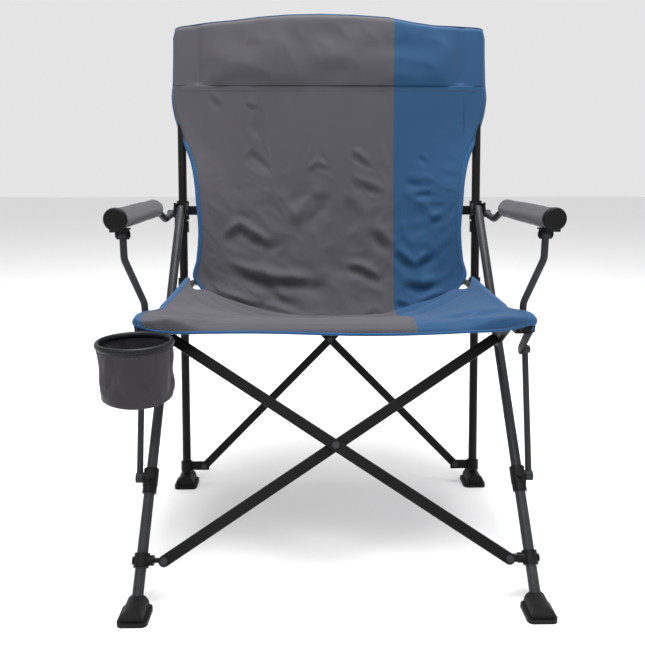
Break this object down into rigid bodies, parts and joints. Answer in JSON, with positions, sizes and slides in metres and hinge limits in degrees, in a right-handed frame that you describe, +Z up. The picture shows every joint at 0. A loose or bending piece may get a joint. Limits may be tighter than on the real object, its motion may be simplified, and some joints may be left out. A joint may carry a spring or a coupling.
{
  "type": "folding camp chair",
  "caption": "Folding camp chair with a hanging fabric seat and back, padded arms, crossed flat bars, sliding brackets and a side cup holder",
  "frame": {"origin": "on the floor, at the middle of the bounding box of the open chair", "axes": "+X to the sitter's left as seen from the front viewer's right, +Y towards the back of the chair, +Z up"},
  "size_m": [0.747, 0.6638, 1.0104],
  "materials": {
    "frame_tube": "satin black powder coat",
    "leg_tube": "dark grey powder coat",
    "black_plastic": "moulded black plastic",
    "shoe_rubber": "moulded black shoe",
    "rivet_steel": "blackened steel rivet",
    "pad_foam": "grey foam sleeve cloth",
    "seat_fabric": "charcoal and blue woven polyester",
    "back_fabric": "charcoal and blue woven polyester",
    "cup_fabric": "dark grey woven polyester"
  },
  "bodies": {
    "upright_left": {"back_upright_left": "frame_tube", "upright_cap_left": "black_plastic", "rear_foot_left": "shoe_rubber", "rear_tab_left": "black_plastic", "rail_mount_left": "black_plastic", "arm_mount_left": "black_plastic", "pins_upright_left": "rivet_steel", "back_panel": "back_fabric"},
    "bracket_left": {"slider_bracket_left": "black_plastic", "pins_bracket_left": "rivet_steel"},
    "leg_left": {"front_leg_left": "leg_tube", "front_foot_left": "shoe_rubber", "leg_stop_collar_left": "black_plastic", "front_tab_mount_left": "black_plastic"},
    "slider_left": {"leg_slider_left": "black_plastic"},
    "rail_left": {"seat_rail_left": "frame_tube", "seat_sling": "seat_fabric"},
    "hub_left": {"front_hub_left": "black_plastic", "pins_hub_left": "rivet_steel", "arm_post_left": "frame_tube", "cup_clip": "black_plastic"},
    "arm_left": {"arm_tube_left": "frame_tube", "arm_pad_left": "pad_foam", "arm_front_bracket_left": "black_plastic"},
    "strut_left": {"strut_left": "frame_tube"},
    "yoke_left": {"upper_yoke_left": "black_plastic"},
    "low_yoke_left": {"lower_yoke_left": "black_plastic"},
    "upright_right": {"back_upright_right": "frame_tube", "upright_cap_right": "black_plastic", "rear_foot_right": "shoe_rubber", "rear_tab_right": "black_plastic", "rail_mount_right": "black_plastic", "arm_mount_right": "black_plastic", "pins_upright_right": "rivet_steel"},
    "bracket_right": {"slider_bracket_right": "black_plastic", "pins_bracket_right": "rivet_steel"},
    "leg_right": {"front_leg_right": "leg_tube", "front_foot_right": "shoe_rubber", "leg_stop_collar_right": "black_plastic", "front_tab_mount_right": "black_plastic"},
    "slider_right": {"leg_slider_right": "black_plastic"},
    "rail_right": {"seat_rail_right": "frame_tube"},
    "hub_right": {"front_hub_right": "black_plastic", "pins_hub_right": "rivet_steel", "arm_post_right": "frame_tube"},
    "arm_right": {"arm_tube_right": "frame_tube", "arm_pad_right": "pad_foam", "arm_front_bracket_right": "black_plastic"},
    "strut_right": {"strut_right": "frame_tube"},
    "yoke_right": {"upper_yoke_right": "black_plastic"},
    "low_yoke_right": {"lower_yoke_right": "black_plastic"},
    "rear_bar_front": {"rear_bar_front": "frame_tube", "rear_centre_rivet": "rivet_steel"},
    "rear_bar_back": {"rear_bar_back": "frame_tube"},
    "front_bar_front": {"front_bar_front": "frame_tube", "pins_front_bar_front": "rivet_steel"},
    "front_bar_back": {"front_bar_back": "frame_tube", "pins_front_bar_back": "rivet_steel"},
    "cup": {"cup_ring": "black_plastic", "cup_pocket": "cup_fabric"}
  },
  "joints": [
    {"name": "fold", "type": "hinge", "parent": "upright_left", "child": "rear_bar_front", "pos_m": [-0.28, 0.17164, 0.04148], "axis": [0, -0.9877, 0.1564], "range_deg": [0, 39.2], "deforming": ["seat_sling", "back_panel"]},
    {"name": "rear_cross", "type": "hinge", "parent": "rear_bar_front", "child": "rear_bar_back", "pos_m": [0, 0.21587, 0.32075], "axis": [0, -0.9877, 0.1564], "range_deg": [-80.47, 2.07]},
    {"name": "right_side", "type": "hinge", "parent": "rear_bar_back", "child": "upright_right", "pos_m": [0.28, 0.17164, 0.04148], "axis": [0, -0.9877, 0.1564], "range_deg": [-1.28, 40.48]},
    {"name": "bracket_left", "type": "hinge", "parent": "rear_bar_back", "child": "bracket_left", "pos_m": [-0.28, 0.2601, 0.60002], "axis": [0, -0.9877, 0.1564], "range_deg": [-1.28, 40.48]},
    {"name": "bracket_right", "type": "hinge", "parent": "rear_bar_front", "child": "bracket_right", "pos_m": [0.28, 0.2601, 0.60002], "axis": [0, -0.9877, 0.1564], "range_deg": [-40.48, 1.28]},
    {"name": "leg_left", "type": "hinge", "parent": "bracket_left", "child": "leg_left", "pos_m": [-0.32, 0.23507, 0.604], "axis": [1, 0, 0], "range_deg": [-1.11, 31.37]},
    {"name": "slider_left", "type": "slide", "parent": "leg_left", "child": "slider_left", "axis": [0, 0.6665, 0.7455], "range_m": [-0.004, 0.3022]},
    {"name": "rail_left", "type": "hinge", "parent": "upright_left", "child": "rail_left", "pos_m": [-0.3005, 0.23546, 0.44446], "axis": [1, 0, 0], "range_deg": [-84.19, 2.14]},
    {"name": "hub_left", "type": "hinge", "parent": "rail_left", "child": "hub_left", "pos_m": [-0.3005, -0.14393, 0.436], "axis": [1, 0, 0], "range_deg": [-2.14, 84.19]},
    {"name": "arm_left", "type": "hinge", "parent": "upright_left", "child": "arm_left", "pos_m": [-0.345, 0.27046, 0.59246], "axis": [1, 0, 0], "range_deg": [-84.19, 2.14]},
    {"name": "strut_left", "type": "hinge", "parent": "hub_left", "child": "strut_left", "pos_m": [-0.339, -0.08793, 0.378], "axis": [1, 0, 0], "range_deg": [-0.75, 13.49]},
    {"name": "yoke_left", "type": "hinge", "parent": "hub_left", "child": "yoke_left", "pos_m": [-0.28, -0.08093, 0.391], "axis": [1, 0, 0], "range_deg": [-0.85, 18.14]},
    {"name": "low_yoke_left", "type": "hinge", "parent": "leg_left", "child": "low_yoke_left", "pos_m": [-0.28, -0.24733, 0.0644], "axis": [1, 0, 0], "range_deg": [-13.74, 0.76]},
    {"name": "leg_right", "type": "hinge", "parent": "bracket_right", "child": "leg_right", "pos_m": [0.32, 0.23507, 0.604], "axis": [1, 0, 0], "range_deg": [-1.11, 31.37]},
    {"name": "slider_right", "type": "slide", "parent": "leg_right", "child": "slider_right", "axis": [0, 0.6665, 0.7455], "range_m": [-0.004, 0.3022]},
    {"name": "rail_right", "type": "hinge", "parent": "upright_right", "child": "rail_right", "pos_m": [0.3005, 0.23546, 0.44446], "axis": [1, 0, 0], "range_deg": [-84.19, 2.14]},
    {"name": "hub_right", "type": "hinge", "parent": "rail_right", "child": "hub_right", "pos_m": [0.3005, -0.14393, 0.436], "axis": [1, 0, 0], "range_deg": [-2.14, 84.19]},
    {"name": "arm_right", "type": "hinge", "parent": "upright_right", "child": "arm_right", "pos_m": [0.345, 0.27046, 0.59246], "axis": [1, 0, 0], "range_deg": [-84.19, 2.14]},
    {"name": "strut_right", "type": "hinge", "parent": "hub_right", "child": "strut_right", "pos_m": [0.339, -0.08793, 0.378], "axis": [1, 0, 0], "range_deg": [-0.75, 13.49]},
    {"name": "yoke_right", "type": "hinge", "parent": "hub_right", "child": "yoke_right", "pos_m": [0.28, -0.08093, 0.391], "axis": [1, 0, 0], "range_deg": [-0.85, 18.14]},
    {"name": "low_yoke_right", "type": "hinge", "parent": "leg_right", "child": "low_yoke_right", "pos_m": [0.28, -0.24733, 0.0644], "axis": [1, 0, 0], "range_deg": [-13.74, 0.76]},
    {"name": "front_bar_front", "type": "hinge", "parent": "yoke_left", "child": "front_bar_front", "pos_m": [-0.28, -0.08093, 0.391], "axis": [0, -0.891, 0.454], "range_deg": [-51.73, 1.5]},
    {"name": "front_bar_back", "type": "hinge", "parent": "yoke_right", "child": "front_bar_back", "pos_m": [0.28, -0.08093, 0.391], "axis": [0, -0.891, 0.454], "range_deg": [-1.5, 51.73]},
    {"name": "cup", "type": "hinge", "parent": "hub_left", "child": "cup", "pos_m": [-0.312, -0.16143, 0.432], "axis": [-1, 0, 0], "range_deg": [0, 80]}
  ],
  "couplings": [
    {"joint": "rear_cross", "follows": "fold", "ratio": -2},
    {"joint": "right_side", "follows": "fold", "ratio": 1},
    {"joint": "bracket_left", "follows": "fold", "ratio": 1},
    {"joint": "bracket_right", "follows": "fold", "ratio": -1},
    {"joint": "leg_left", "follows": "fold", "ratio": 0.77211},
    {"joint": "slider_left", "follows": "fold", "m_per_rad": 0.42732},
    {"joint": "rail_left", "follows": "fold", "ratio": -2.0931},
    {"joint": "hub_left", "follows": "fold", "ratio": 2.0931},
    {"joint": "arm_left", "follows": "fold", "ratio": -2.0931},
    {"joint": "strut_left", "follows": "fold", "ratio": 0.32495},
    {"joint": "yoke_left", "follows": "fold", "ratio": 0.4411},
    {"joint": "low_yoke_left", "follows": "fold", "ratio": -0.33101},
    {"joint": "leg_right", "follows": "fold", "ratio": 0.77211},
    {"joint": "slider_right", "follows": "fold", "m_per_rad": 0.42732},
    {"joint": "rail_right", "follows": "fold", "ratio": -2.0931},
    {"joint": "hub_right", "follows": "fold", "ratio": 2.0931},
    {"joint": "arm_right", "follows": "fold", "ratio": -2.0931},
    {"joint": "strut_right", "follows": "fold", "ratio": 0.32495},
    {"joint": "yoke_right", "follows": "fold", "ratio": 0.4411},
    {"joint": "low_yoke_right", "follows": "fold", "ratio": -0.33101},
    {"joint": "front_bar_front", "follows": "fold", "ratio": -1.2812},
    {"joint": "front_bar_back", "follows": "fold", "ratio": 1.2812}
  ]
}
